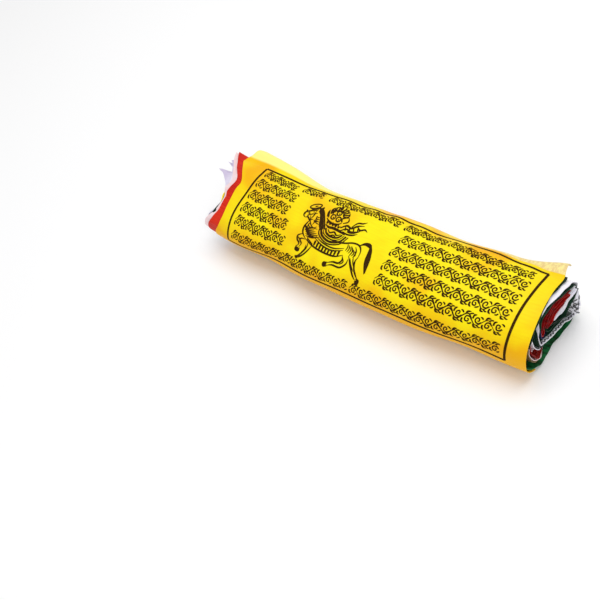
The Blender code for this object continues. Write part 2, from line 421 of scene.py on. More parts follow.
def stations(count, crowd=0.5):
    """Shares from end to end, closer together near both ends."""
    even = np.linspace(0, 1, count)
    return (1 - crowd) * even + crowd * (0.5 - 0.5 * np.cos(np.pi * even))


class Strokes:
    """Flat strokes laid on a cloth's outer side: ink or thread."""

    # Each stroke lies a little above the one before, so that no two lie in one plane
    level = 0.0006 * MM
    levels = 17
    # The share of a stroke over which each of its ends narrows
    narrowing = 0.3

    def __init__(self, surface, height, thick):
        self.surface = surface
        self.height = height
        self.thick = thick
        self.weight = 1.0
        self.points = []
        self.heights = []
        self.faces = []

    def stroke(self, route, width, taper=(0.35, 0.35), spacing=0.5):
        """A stroke through points, in mm, thinner towards its ends."""
        route = np.asarray(route, float)
        reach = np.hypot(*np.diff(route, axis=0).T).sum()
        count = max(4, int(reach / spacing) + 2)
        path = curve_through(route, count)
        heading = np.gradient(path, axis=0)
        heading /= np.maximum(np.linalg.norm(heading, axis=1, keepdims=True), 1e-9)
        side = np.column_stack([-heading[:, 1], heading[:, 0]])
        share = np.linspace(0, 1, count)
        body = np.minimum(1, np.minimum(
            taper[0] + share / self.narrowing * (1 - taper[0]),
            taper[1] + (1 - share) / self.narrowing * (1 - taper[1]),
        ))
        half = (self.weight * width / 2 * body)[:, None]
        first = sum(len(p) for p in self.points)
        self.points.append(np.concatenate([path - side * half, path + side * half]))
        self.heights.append(self.heights_of(2 * count))
        for k in range(count - 1):
            self.faces.append((first + k, first + count + k, first + count + k + 1, first + k + 1))

    def heights_of(self, count):
        return np.full(count, self.height + self.level * (len(self.points) % self.levels))

    def blot(self, middle, across, up, turned=0.0, corners=10):
        """A small filled round of ink."""
        angles = np.linspace(0, 2 * math.pi, corners, endpoint=False)
        x, y = np.cos(angles) * across / 2, np.sin(angles) * up / 2
        c, s = math.cos(turned), math.sin(turned)
        rim = np.column_stack([middle[0] + x * c - y * s, middle[1] + x * s + y * c])
        first = sum(len(p) for p in self.points)
        self.points.append(rim)
        self.heights.append(self.heights_of(corners))
        self.faces.append(tuple(range(first, first + corners)))

    def hatch(self, count, width, *places):
        """Strokes side by side: each place is x and y, and how far they move from stroke to stroke."""
        for k in range(count):
            self.stroke([(x + across * k, y + down * k) for x, y, across, down in places], width)

    def piece(self, name, material):
        flat = np.concatenate(self.points) * MM
        points = self.surface.raised(flat[:, 0], flat[:, 1], np.concatenate(self.heights))
        return piece_from(name, points, self.faces, flat, self.thick, material, smooth=False)


# Finishes


class Value:
    """A number, colour or vector that a material's nodes work out."""

    def __init__(self, finish, socket):
        self.finish, self.socket = finish, socket

    def __add__(self, other):
        return self.finish.maths("ADD", self, other)

    def __sub__(self, other):
        return self.finish.maths("SUBTRACT", self, other)

    def __rsub__(self, other):
        return self.finish.maths("SUBTRACT", other, self)

    def __mul__(self, other):
        return self.finish.maths("MULTIPLY", self, other)

    __radd__, __rmul__ = __add__, __mul__


class Finish:
    """A material whose nodes are written as sums."""

    def __init__(self, name, **constants):
        self.material = bpy.data.materials.new(name)
        self.material.use_nodes = True
        self.tree = self.material.node_tree
        self.shader = self.tree.nodes["Principled BSDF"]
        for socket, value in constants.items():
            label = socket.replace("_", " ").title().replace("Ior", "IOR")
            self.shader.inputs[label].default_value = value

    def node(self, kind, settings=None, sockets=None, output=0):
        made = self.tree.nodes.new(kind)
        for name, value in (settings or {}).items():
            if name == "stops":
                while len(made.color_ramp.elements) < len(value):
                    made.color_ramp.elements.new(0.5)
                for element, (position, colour) in zip(made.color_ramp.elements, value):
                    element.position, element.color = position, colour
            else:
                setattr(made, name, value)
        for name, value in (sockets or {}).items():
            if isinstance(value, Value):
                self.tree.links.new(value.socket, made.inputs[name])
            else:
                made.inputs[name].default_value = value
        return Value(self, made.outputs[output])

    def maths(self, operation, one, other=0.0):
        return self.node("ShaderNodeMath", {"operation": operation}, {0: one, 1: other})

    def mix(self, share, first, second):
        """A colour between two colours."""
        return self.node("ShaderNodeMix", {"data_type": "RGBA"}, {0: share, 6: first, 7: second}, 2)

    def flat(self):
        return self.node("ShaderNodeUVMap", {"uv_map": "flat"})

    def stretched(self, across, down):
        """The flat place on the cloth, drawn out by a factor each way."""
        return self.node(
            "ShaderNodeVectorMath", {"operation": "MULTIPLY"}, {0: self.flat(), 1: (across, down, 1.0)}
        )

    def noise(self, place, scale, detail=2.0, roughness=0.5):
        return self.node(
            "ShaderNodeTexNoise", None,
            {"Vector": place, "Scale": scale, "Detail": detail, "Roughness": roughness},
        )

    def ramp(self, value, low, high):
        """A number as it rises from 0 at low to 1 at high."""
        return self.node(
            "ShaderNodeMapRange", {"interpolation_type": "SMOOTHSTEP"}, {0: value, 1: low, 2: high}
        )

    def wear(self, **sockets):
        for name, value in sockets.items():
            self.tree.links.new(value.socket, self.shader.inputs[name.replace("_", " ").title()])
        return self.material

    def bump(self, height, strength, distance):
        return self.node(
            "ShaderNodeBump", None, {"Height": height, "Strength": strength, "Distance": distance}
        )


THREAD_PITCH = 0.42
RIB_PITCH = 0.8
# Painted shade: the deeper gold that the yellow flag is painted where it lies in shade
PAINTED_SHADE_GOLD = (0.90, 0.46, 0.001, 1)
# Painted light: pale colours that stand in for light shining through the margin's thin flaps
PAINTED_BACKLIGHT_PALE_STRAW = (0.98, 0.90, 0.24, 1)
PAINTED_BACKLIGHT_BEIGE = (0.80, 0.60, 0.26, 1)
PAINTED_BACKLIGHT_DRY_STRAW = (0.92, 0.80, 0.32, 1)


def places_on_cloth(finish):
    """The distances along the roll and down the cloth, in mm."""
    return (
        finish.node("ShaderNodeSeparateXYZ", None, {0: finish.flat()}, output) for output in (0, 1)
    )


def painted_shade_gold_clouds(finish, u, v, clouds):
    """Painted shade: where the yellow is painted deeper gold because that part of the roll lies in shade,
    low on the face, at both ends and along the top; the patches are random deeper dye.
    """
    low = finish.ramp(v + clouds * 14.0, 36.0, 53.0)
    ends = finish.ramp(finish.maths("ABSOLUTE", u) + clouds * 16.0, 82.0, 100.0)
    high = 1.0 - finish.ramp(v + clouds * 9.0, 1.0, 9.0)
    patches = finish.ramp(finish.noise(finish.flat(), 0.03, 2.0), 0.48, 0.66)
    return finish.maths("MINIMUM", low + ends * 0.40 + high * 0.30 + patches * 0.75, 1.0)


def painted_backlight_margin(finish, dye_and_painted_light, u, v, clouds):
    """The thin margin past the frame's top line, painted pale straw and beige on its two flaps as painted
    light shining through the thin cloth.
    """
    top_line = finish.ramp(u, 40.0, 88.0) * 4.4 - finish.ramp(u, -85.0, 35.0) * 3.5 - 0.3
    margin = 1.0 - finish.ramp(v - top_line + clouds * 0.8, -3.2, -1.9)
    speckle = finish.ramp(finish.noise(finish.flat(), 0.75, 3.0, 0.65), 0.40, 0.62)
    dry = finish.mix(speckle, PAINTED_BACKLIGHT_BEIGE, PAINTED_BACKLIGHT_DRY_STRAW)
    straw = finish.mix(finish.ramp(u, 30.0, 70.0), PAINTED_BACKLIGHT_PALE_STRAW, dry)
    flaps = finish.maths("MAXIMUM", finish.ramp(u, 20.0, 60.0), 1.0 - finish.ramp(u, -50.0, -10.0))
    return finish.mix(margin * flaps, dye_and_painted_light, straw)


def satin(name, colour, deep, printed=False, left=None, right=None, blotches=0.045):
    """Polyester satin: long shiny floats across the flag, slubs and soft dye changes.

    Left and right are colours that it turns to near an end, painted shade where that end lies in shade.
    Printed adds painted shade in gold and painted light through the margin's flaps. Blotches is how close
    the clouds are.
    """
    finish = Finish(name, specular_ior_level=0.14)
    u, v = places_on_cloth(finish)
    floats = finish.maths("SINE", v * (2 * math.pi / THREAD_PITCH))
    ties = finish.maths("SINE", (u + v * 0.37) * (2 * math.pi / (THREAD_PITCH * 1.9)))
    slubs = finish.noise(finish.stretched(0.12, 1.1), 1.0, 3.0, 0.6)
    clouds = finish.noise(finish.flat(), blotches, 3.0)
    weave = floats * 0.40 + ties * 0.25 + slubs * 0.5
    tone = finish.ramp(clouds * 0.6 + slubs * 0.4, 0.38, 0.62)
    dye_and_painted_light = finish.mix(tone, colour, deep)
    if left:
        # Painted shade: the left end turns towards the darker left colour
        dye_and_painted_light = finish.mix((1.0 - finish.ramp(u + clouds * 6.0, -102.0, -88.0)) * 0.7, dye_and_painted_light, left)
    if right:
        # Painted shade: the right end turns towards the darker right colour
        dye_and_painted_light = finish.mix(finish.ramp(u, 72.0, 88.0) * 0.8, dye_and_painted_light, right)
    if printed:
        # Painted shade: deeper gold low on the face, at both ends and along the top, with random patches of
        # deeper dye
        dye_and_painted_light = finish.mix(painted_shade_gold_clouds(finish, u, v, clouds), dye_and_painted_light, PAINTED_SHADE_GOLD)
        # Painted light: the margin's two flaps painted pale, for light shining through them
        dye_and_painted_light = painted_backlight_margin(finish, dye_and_painted_light, u, v, clouds)
    return finish.wear(
        base_color=dye_and_painted_light,
        roughness=slubs * 0.18 + 0.33,
        normal=finish.bump(weave, 0.3, 0.04 * MM),
    )


def ink(name):
    """Screen ink, thin in places, so that the cloth's colour shows through it."""
    finish = Finish(name, specular_ior_level=0.05)
    grain = finish.noise(finish.flat(), 1.9, 4.0, 0.7)
    thin = finish.ramp(grain, 0.52, 0.80)
    return finish.wear(
        base_color=finish.mix(thin, (0.036, 0.016, 0.003, 1), (0.20, 0.105, 0.008, 1)),
        roughness=grain * 0.2 + 0.65,
    )


def twill(name, colour, shade):
    """White cotton twill: slanting ribs and a soft, dry surface."""
    finish = Finish(name, sheen_weight=0.3, specular_ior_level=0.2)
    u, v = places_on_cloth(finish)
    ribs = finish.maths("SINE", (u + v) * (2 * math.pi / RIB_PITCH))
    fuzz = finish.noise(finish.flat(), 1.4, 4.0, 0.7)
    return finish.wear(
        base_color=finish.mix(finish.ramp(fuzz + ribs * 0.12, 0.3, 0.75), colour, shade),
        roughness=fuzz * 0.2 + 0.7,
        normal=finish.bump(ribs * 0.6 + fuzz, 0.4, 0.06 * MM),
    )


def thread(name):
    """Dark twisted thread."""
    finish = Finish(name, sheen_weight=0.2)
    strands = finish.noise(finish.stretched(3.0, 3.0), 1.0, 2.0)
    return finish.wear(
        base_color=finish.mix(strands, (0.012, 0.014, 0.020, 1), (0.05, 0.05, 0.06, 1)),
        roughness=strands * 0.3 + 0.45,
    )


YELLOW_SATIN = satin("yellow_satin", (0.96, 0.83, 0.003, 1), (0.95, 0.73, 0.002, 1), printed=True)
PLAIN_YELLOW_SATIN = satin("plain_yellow_satin", (0.95, 0.78, 0.05, 1), (0.92, 0.66, 0.02, 1))
# Painted shade: a yellow flag painted dark tan, for yellow cloth in deep shade inside the right end
PAINTED_SHADE_YELLOW_SATIN = satin("painted_shade_yellow_satin", (0.30, 0.20, 0.07, 1), (0.16, 0.11, 0.04, 1))
# Painted shade: the red darkens near its right end, where it lies in shade inside the roll
RED_SATIN = satin(
    "red_satin", (0.72, 0.030, 0.008, 1), (0.52, 0.010, 0.004, 1), right=(0.16, 0.003, 0.003, 1)
)
# Painted shade: a darker copy of the red satin, for the red folds deep in the roll's right end
PAINTED_SHADE_RED_SATIN = satin("painted_shade_red_satin", (0.40, 0.005, 0.004, 1), (0.10, 0.001, 0.002, 1))
GREEN_SATIN = satin("green_satin", (0.014, 0.19, 0.055, 1), (0.010, 0.045, 0.014, 1), blotches=0.30)
# Painted shade: a darker copy of the green satin, for green flags in the dark gaps inside the roll
PAINTED_SHADE_GREEN_SATIN = satin("painted_shade_green_satin", (0.006, 0.040, 0.018, 1), (0.003, 0.016, 0.008, 1))
# Painted shade: the white turns lavender near its left end, for the shaded flap there
WHITE_SATIN = satin(
    "white_satin", (0.95, 0.95, 0.98, 1), (0.86, 0.84, 0.95, 1), left=(0.52, 0.42, 0.64, 1)
)
# Painted shade: white flags painted pale pink, for the pinkish shading on them inside the roll's ends
PAINTED_SHADE_PINK_SATIN = satin("painted_shade_pink_satin", (0.93, 0.76, 0.78, 1), (0.86, 0.64, 0.64, 1))
BLUE_SATIN = satin("blue_satin", (0.010, 0.018, 0.08, 1), (0.004, 0.006, 0.03, 1))
PRINT_INK = ink("print_ink")
TAPE_TWILL = twill("white_twill", (0.94, 0.93, 0.97, 1), (0.84, 0.83, 0.92, 1))
DARK_THREAD = thread("dark_thread")


# The last flag and its print


last = LastFlag()
flag_downs = np.linspace(last.top, last.bottom, 118)
yellow_flag = cloth_piece("yellow_flag", last, flag_downs, stations(190, 0.3), SATIN_THICK, YELLOW_SATIN)
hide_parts("last_flag")

INK_HEIGHT = SATIN_THICK / 2 + 0.035 * MM
INK_THICK = 0.03 * MM
LEFT_LINE = ((0, -79.4), (15, -80.2), (30, -81.4), (45, -80.0))
RIGHT_LINE = ((0, 81.2), (23, 80.6), (46, 81.0))
FRAME_WIDTH = 1.2
HORSE_WEIGHT = 1.45
VINE_WIDTH = 0.62
VINE_SWING = 0.32
BEND_LENGTH = 0.84

# The rows of vine, each from one point to another, and their heights
FIRST_ROW = (
    ((-77.4, 0.8), (-55, 1.0)), ((-51, 0.2), (-38, -0.6)), ((-34, -0.8), (8, -1.8)),
    ((10.5, -1.6), (34, -1.4)), ((34.6, -1.2), (77, 2.2)),
)
FIRST_ROW_HEIGHT = 4.8
OTHER_ROWS = (
    ((-78.4, 7.1), (-50, 6.7)), ((-78.4, 14.1), (-50, 13.7)), ((-78.4, 21.3), (-46, 20.9)),
    ((-78.4, 28.3), (-43.6, 27.9)), ((12.8, 5.4), (77.6, 7.8)), ((12.8, 12.8), (77.6, 15.0)),
    ((12.8, 20.2), (77.6, 22.4)), ((12.8, 27.4), (77.6, 29.4)),
    ((-77.6, 36.2), (0, 36.0)), ((1.5, 36.0), (78.4, 38.2)),
)
ROW_HEIGHT = 5.5


def tendril(strokes, draw, x, middle, pitch, size, side):
    """What fills one bend of the vine: a curl inside it and four leaves round it."""

    def spot(across, down):
        across += draw.uniform(-0.03, 0.03)
        down += draw.uniform(-0.02, 0.02)
        return x + pitch * across, middle + side * size * down

    line = strokes.stroke
    line([spot(0.96, 0.02), spot(0.74, -0.14), spot(0.46, -0.12), spot(0.34, 0.08), spot(0.46, 0.26),
          spot(0.68, 0.24), spot(0.70, 0.06), spot(0.56, 0.05)], 0.66, (0.8, 0.7))
    line([spot(0.30, -0.28), spot(0.40, -0.46), spot(0.72, -0.50)], 0.86, (0.9, 0.2))
    line([spot(0.62, -0.30), spot(0.84, -0.42), spot(1.02, -0.40)], 0.66, (0.9, 0.2))
    line([spot(0.10, 0.10), spot(0.12, 0.34), spot(0.34, 0.46)], 0.86, (0.9, 0.2))
    line([spot(0.72, 0.40), spot(0.92, 0.36), spot(1.06, 0.24)], 0.70, (0.3, 0.7))


def vine_row(strokes, draw, start, end, size):
    """A running vine from one point to another: a waving stem with a curl in each bend."""
    bends = max(2, round((end[0] - start[0]) / (BEND_LENGTH * size)))
    pitch = (end[0] - start[0]) / bends
    xs = np.linspace(0, bends, bends * 6 + 1)
    middles = start[1] + xs / bends * (end[1] - start[1]) + size / 2
    stem = np.column_stack([start[0] + xs * pitch, middles - VINE_SWING * size * np.sin(math.pi * xs)])
    strokes.stroke(stem, VINE_WIDTH, (0.5, 0.3), 0.4)
    for k in range(bends):
        side = 1 if k % 2 == 0 else -1
        tendril(strokes, draw, start[0] + k * pitch, middles[6 * k + 3], pitch, size, side)


def running_horse(strokes):
    """A horse at a gallop with flaming jewels on its saddle, drawn in line."""
    line = strokes.stroke
    blot = strokes.blot
    hatch = strokes.hatch
    # head, ears and bridle
    line([(-34.4, 11.2), (-36.4, 11.6), (-38.2, 12.6), (-40.2, 14.0), (-40.2, 15.6), (-38.8, 16.4)], 0.62)
    line([(-38.8, 16.4), (-37.2, 15.8), (-35.6, 16.7), (-33.8, 15.8)], 0.55)
    line([(-34.7, 11.0), (-34.9, 8.9), (-33.8, 9.8), (-33.3, 11.4)], 0.6)
    line([(-33.5, 10.6), (-32.6, 8.3), (-32.2, 10.4)], 0.55)
    blot((-35.9, 12.4), 0.9, 0.6)
    blot((-38.5, 13.9), 0.6, 0.5)
    line([(-38.4, 12.9), (-37.6, 14.2), (-37.9, 15.9)], 0.45)
    line([(-35.0, 11.6), (-34.7, 13.8), (-35.3, 16.2)], 0.45)
    line([(-38.4, 15.2), (-36.6, 14.0), (-34.8, 13.0), (-33.4, 12.2)], 0.4)
    line([(-36.6, 14.2), (-34.6, 17.4), (-31.8, 19.4), (-28.6, 19.4)], 0.42)
    line([(-33.2, 15.9), (-32.4, 16.6), (-31.2, 16.2)], 0.5)
    for middle, wide in (((-37.4, 14.2), 0.9), ((-40.0, 12.9), 0.9), ((-40.1, 14.9), 1.0)):
        blot(middle, wide, wide)
    # plume between the ears, with its dark heart
    rim = [(-37.0 + 2.5 * math.cos(a) + 1.0 * math.sin(a), 9.2 - 1.7 * math.cos(a) + 0.8 * math.sin(a))
           for a in np.linspace(0, 2 * math.pi, 13)]
    line(rim, 0.5, (1, 1))
    blot((-36.7, 9.1), 1.7, 0.8, -0.61)
    line([(-38.9, 11.4), (-36.4, 11.2), (-34.6, 9.6), (-33.0, 8.9)], 0.5)
    # mane
    for k in range(17):
        share = k / 16
        x, y = -33.4 + 6.8 * share, 10.4 + 7.4 * share**1.2
        tuft = [(x + 0.1, y + 0.8), (x + 0.9, y - 0.8 + 0.5 * share), (x + 2.2, y - 0.6 + 1.0 * share)]
        line(tuft, 0.42, (0.9, 0.2))
    # neck and chest
    line([(-33.6, 10.8), (-31.4, 12.1), (-29.6, 14.6), (-28.2, 17.4), (-25.6, 19.8)], 1.1, (0.6, 0.5))
    line([(-35.2, 16.8), (-35.9, 18.8), (-36.3, 21.0), (-35.2, 23.6), (-32.6, 25.6)], 0.62)
    line([(-34.2, 17.6), (-34.6, 19.4), (-34.6, 21.6)], 0.4)
    line([(-35.2, 18.6), (-33.4, 19.8), (-31.2, 19.6), (-29.6, 18.4)], 0.42)
    line([(-33.0, 14.0), (-32.2, 16.0), (-32.6, 18.4)], 0.4)
    hatch(6, 0.5, (-35.7, 19.8, 0.5, 0.9), (-33.8, 20.6, 0.9, 0.7), (-31.2, 19.6, 1.1, 0.6))
    hatch(4, 0.36, (-33.0, 13.6, 0.1, 0.9), (-32.0, 14.2, 0.3, 0.9), (-30.9, 13.8, 0.5, 1.1))
    hatch(6, 0.42, (-9.0, 20.2, 1.1, 0.4), (-8.2, 21.8, 1.2, 0.4), (-8.4, 23.8, 1.1, 0.3))
    hatch(5, 0.42, (-31.6, 24.6, 0.9, 0.45), (-30.6, 26.2, 0.9, 0.3))
    # collar of bells
    for k in range(6):
        blot((-36.0 + 1.35 * k, 20.6 + 1.05 * k - 0.10 * k * k), 0.95, 0.95)
    line([(-36.4, 19.4), (-33.4, 22.4), (-30.4, 23.8), (-27.8, 23.4)], 0.5)
    # back, rump and belly
    line([(-25.6, 19.8), (-19.0, 21.4), (-12.0, 20.8), (-7.0, 19.0), (-3.2, 19.0), (-0.8, 21.2),
          (-0.2, 24.2)], 0.62)
    line([(-32.6, 25.6), (-27.0, 27.6), (-20.0, 28.4), (-12.6, 28.0), (-8.2, 26.0)], 0.62)
    line([(-6.6, 20.6), (-4.6, 22.6), (-5.0, 25.2)], 0.42)
    line([(-4.4, 20.2), (-2.6, 22.4), (-2.8, 24.6)], 0.42)
    # saddle cloth: borders one inside another, waves and a fringe
    for k, width in enumerate((0.50, 0.80, 0.36, 0.72)):
        line([(-28.2 + 1.2 * k, 16.6 + 0.2 * k), (-26.4 + 1.1 * k, 21.4 - 0.7 * k),
              (-19.8, 23.9 - 1.25 * k), (-13.4 - 1.0 * k, 21.9 - 0.8 * k),
              (-10.9 - 1.2 * k, 17.4)], width, (0.8, 0.8))
    line([(-23.4, 17.3), (-21.5, 18.5), (-19.4, 17.5), (-17.4, 18.5), (-15.4, 17.4)], 0.6)
    line([(-22.6, 19.0), (-20.8, 19.8), (-19.0, 19.0), (-17.0, 19.7)], 0.5)
    line([(-24.6, 16.4), (-21.0, 16.0), (-17.0, 16.2), (-13.4, 16.9)], 0.9, (0.6, 0.3))
    for k in range(9):
        x = -26.4 + 1.9 * k
        low = 25.2 + 1.7 * math.sin(math.pi * (k + 0.5) / 9)
        line([(x, low - 0.9), (x + 0.2, low + 1.7)], 0.8, (0.9, 0.6))
    line([(-27.6, 22.6), (-22.0, 24.4), (-15.4, 24.8), (-9.6, 23.0)], 0.5)
    line([(-27.6, 23.6), (-22.0, 25.6), (-15.4, 26.0), (-9.6, 24.0)], 0.55)
    # forelegs
    line([(-34.6, 23.6), (-37.2, 25.4), (-36.6, 27.4), (-34.8, 28.8), (-35.2, 30.4)], 0.62)
    line([(-32.4, 26.0), (-34.6, 26.2), (-35.0, 27.2), (-33.4, 28.6), (-34.0, 30.6)], 0.55)
    line([(-35.6, 30.2), (-35.4, 32.2), (-33.6, 32.4), (-33.4, 30.8)], 0.8)
    line([(-30.0, 26.8), (-29.6, 29.6), (-30.8, 32.4), (-32.4, 34.6), (-33.6, 35.6)], 0.6)
    line([(-27.2, 27.8), (-28.0, 30.2), (-29.6, 33.0), (-31.6, 35.0), (-32.8, 35.8)], 0.6)
    line([(-33.8, 35.2), (-32.6, 35.9)], 1.0, (0.7, 0.7))
    blot((-34.6, 31.5), 2.1, 1.4, 0.3)
    blot((-33.4, 35.7), 2.0, 1.2, 0.5)
    line([(-36.6, 26.0), (-35.6, 26.8), (-34.6, 26.6)], 0.5)
    line([(-30.6, 28.4), (-30.2, 30.4), (-31.4, 32.6)], 0.4)
    # hind legs
    line([(-0.2, 24.2), (-0.6, 26.6), (0.6, 29.6), (2.6, 32.0), (4.4, 33.6)], 0.62)
    line([(-5.2, 25.2), (-2.8, 28.0), (-0.6, 30.6), (1.6, 33.0), (3.4, 34.4)], 0.6)
    line([(3.6, 33.6), (5.2, 34.2), (4.8, 36.0), (3.4, 34.8)], 0.85)
    line([(-8.2, 26.4), (-7.4, 28.2), (-8.6, 30.0), (-11.6, 30.4), (-14.4, 31.6)], 0.62)
    line([(-4.6, 26.8), (-4.6, 29.2), (-7.0, 31.6), (-11.4, 31.8), (-14.2, 32.9)], 0.6)
    line([(-14.4, 31.6), (-16.4, 32.4), (-16.0, 33.6), (-14.0, 33.2)], 0.85)
    blot((-15.4, 32.7), 2.1, 1.2, -0.3)
    blot((4.3, 35.0), 1.9, 1.5, 0.6)
    line([(-3.8, 26.0), (-1.8, 28.6), (0.8, 31.0)], 0.42)
    line([(-2.6, 24.8), (-1.4, 27.2), (0.6, 29.6)], 0.42)
    line([(-7.6, 27.0), (-6.4, 28.8), (-7.8, 30.4)], 0.42)
    # tail
    for k in range(9):
        sway = k / 8
        line([(-2.8, 18.8), (-0.6 + 0.3 * sway, 16.8 + 0.8 * sway), (2.4 + 0.9 * sway, 17.2 + 1.3 * sway),
              (3.6 + 1.6 * sway, 21.4 + 0.5 * sway), (4.4 + 1.9 * sway, 25.6),
              (6.6 + 0.4 * sway, 30.4 - 0.6 * sway)], 0.72, (0.5, 0.15))
    # three jewels in their flames, on a lotus seat
    for x, y in ((-24.6, 11.0), (-21.2, 11.2), (-22.9, 8.2)):
        angles = np.linspace(0, 2 * math.pi, 9)
        line([(x + 1.25 * math.cos(a), y + 1.25 * math.sin(a)) for a in angles], 0.5, (1, 1), 0.4)
        blot((x + 0.2, y + 0.2), 0.8, 0.8)
    line([(-27.4, 12.6), (-25.2, 13.8), (-22.8, 14.2), (-20.4, 13.8), (-18.4, 12.4)], 0.75)
    line([(-26.0, 15.6), (-23.0, 16.4), (-19.8, 15.4)], 0.7)
    hatch(5, 0.5, (-26.2, 13.4, 1.7, 0), (-25.6, 15.0, 1.7, 0), (-24.9, 13.8, 1.7, 0))
    for x, y, tip_x, tip_y in (
        (-27.6, 12.0, -28.8, 8.0), (-26.8, 10.0, -27.2, 5.8), (-25.4, 7.8, -25.6, 4.4),
        (-23.4, 6.2, -22.6, 2.6), (-21.2, 7.4, -20.2, 4.0), (-19.6, 9.2, -18.2, 5.8),
        (-18.6, 12.0, -16.6, 8.4),
    ):
        line([(x, y), (x - 0.9, (y + tip_y) / 2), (tip_x, tip_y)], 0.62, (0.8, 0.2))
        line([(tip_x, tip_y), (tip_x + 1.0, (y + tip_y) / 2 + 0.4), (x + 0.9, y + 0.2)], 0.5, (0.2, 0.6))
    for k in range(9):
        angle = math.radians(200 + 17 * k)
        inner = -22.9 + 3.6 * math.cos(angle), 10.6 + 3.4 * math.sin(angle)
        outer = -22.6 + 6.2 * math.cos(angle + 0.16), 10.2 + 6.6 * math.sin(angle + 0.16)
        line([inner, ((inner[0] + outer[0]) / 2 + 0.5, (inner[1] + outer[1]) / 2), outer], 0.62, (0.9, 0.2))
    # scarf blown back from the saddle
    line([(-9.8, 10.8), (-7.6, 12.0), (-5.4, 10.9), (-3.6, 11.6)], 0.6, (0.6, 0.2))
    line([(-12.4, 12.2), (-10.6, 9.4), (-8.2, 8.6), (-6.4, 7.2)], 0.55, (0.6, 0.2))
    line([(-13.4, 15.0), (-10.6, 14.6), (-7.4, 12.9)], 0.7, (0.6, 0.2))
    line([(-17.8, 14.6), (-15.0, 12.4), (-12.2, 12.8), (-9.6, 10.6), (-6.6, 9.4)], 0.7, (0.6, 0.2))
    line([(-17.2, 16.0), (-14.4, 14.0), (-11.6, 14.4), (-8.6, 13.4), (-6.4, 11.6)], 0.6, (0.6, 0.2))
    line([(-15.6, 15.8), (-12.6, 16.2), (-9.8, 15.6), (-7.6, 14.2)], 0.62, (0.6, 0.2))
    hatch(4, 0.5, (-15.4, 12.9, 2.1, -0.5), (-14.4, 15.2, 2.1, -0.6))


def print_on_flag():
    """The frame, the rows of vine and the horse, in ink on the yellow flag."""
    strokes = Strokes(last, INK_HEIGHT, INK_THICK)
    draw = random.Random(11)
    dense = {}
    for name, line in (("top", TOP_LINE), ("bottom", BOTTOM_LINE)):
        xs = np.linspace(line[0][0], line[-1][0], 60)
        dense[name] = np.column_stack([xs, between(line, xs, 1)])
    for line in (dense["top"], dense["bottom"]):
        strokes.stroke(line, FRAME_WIDTH, (1, 1), 0.7)
    for line in (LEFT_LINE, RIGHT_LINE):
        downs = np.linspace(line[0][0], line[-1][0], 24)
        side = np.column_stack([between(line, downs, 1), downs])
        ends = [dense[name][0 if side[0, 0] < 0 else -1] for name in ("top", "bottom")]
        strokes.stroke([ends[0], *side[2:-2], ends[1]], FRAME_WIDTH, (1, 1), 0.7)
    for start, end in FIRST_ROW:
        vine_row(strokes, draw, start, end, FIRST_ROW_HEIGHT)
    for start, end in OTHER_ROWS:
        vine_row(strokes, draw, start, end, ROW_HEIGHT)
    strokes.weight = HORSE_WEIGHT
    running_horse(strokes)
    return strokes.piece("flag_print", PRINT_INK)


flag_print = print_on_flag()

# The flags wound inside


def round_rows(table):
    """Rows that follow the roll: turn, depth in mm, and how far the end stands out."""
    return [(*(float(c) / MM for c in section(turn, depth * MM)), out) for turn, depth, out in table]


def rows_at(depth, table):
    """Rows that follow the roll at one depth in mm: turn, and how far the end stands out."""
    return round_rows([(turn, depth, out) for turn, out in table])


def shifted_out(rows, outs):
    """The same rows with other reaches at the end: one for all of them, or one for each."""
    outs = np.broadcast_to(outs, len(rows))
    return [(row[0], row[1], float(out)) for row, out in zip(rows, outs)]


green_top_right = round_rows([
    (48, 1.0, -1.7), (60, 1.0, -0.95), (75, 1.0, -0.9), (90, 1.0, -0.8), (105, 1.0, -0.35),
    (125, 1.0, 0.7), (150, 1.1, 1.4),
])
green_outer_right = round_rows([
    (112, 1.9, -5), (130, 1.7, -1.5), (150, 1.4, -0.2), (180, 1.2, 0.3), (205, 1.2, 0.6),
    (228, 1.0, 0.7), (250, 0.5, 0.3), (270, 0.45, -0.4), (290, 0.45, -0.1), (306, 0.45, 0.4),
    (317, 0.6, 0.6),
])
lilac_outer_right = [
    (-9.5, 12.6, -4), (-14, 10.6, -1.4), (-18.4, 7.0, 0.0), (-19.5, 3.6, 0.5), (-18.6, -0.8, 0.7),
    (-16.6, -5.2, 0.7), (-13.8, -8.0, 0.5), (-10.2, -9.8, 0.0), (-6.5, -10.6, -1.6), (4, -12.2, -7),
    (11, -12.4, -8), (15.5, -10, -7), (17.2, -7.2, -5),
]
# A yellow flag painted dark tan as painted shade, in the gap under the green flag
painted_shade_yellow_right = [
    (-12.4, 12.0, -4), (-16.4, 9.4, -2), (-19.2, 6.6, 0.1), (-20.3, 3.0, 0.6), (-19.4, -1.4, 0.7),
    (-17.4, -5.6, 0.6), (-14.5, -8.8, 0.3), (-10.8, -10.7, -1.0), (-5, -12.0, -6), (4, -13.1, -8),
    (11, -13.2, -8),
]
red_outer_right = [
    (-10.4, 11.6, -6), (-14.0, 9.8, -2), (-17.2, 6.8, -0.1), (-18.0, 3.2, 0.7), (-17.2, -1.2, 1.0),
    (-15.0, -5.6, 1.0), (-12.2, -7.9, 0.6), (-8.6, -8.9, -0.6), (-5, -9.4, -2.4), (5, -10.9, -7),
    (12, -11.2, -8),
]
red_outer_left = round_rows([
    (47, 1.1, 16.5), (62, 1.1, 12.5), (74, 1.15, 8.6), (86, 1.2, 4.1), (92, 1.2, 3.0), (100, 1.2, 4.0),
    (105, 1.2, 4.4), (111, 1.2, 3.2), (120, 1.25, 3.3), (133, 1.25, 4.3), (146, 1.25, 6.1),
    (165, 1.25, 8.0), (185, 1.25, 8.6), (200, 1.25, 5.0), (224, 1.0, 2.0),
])
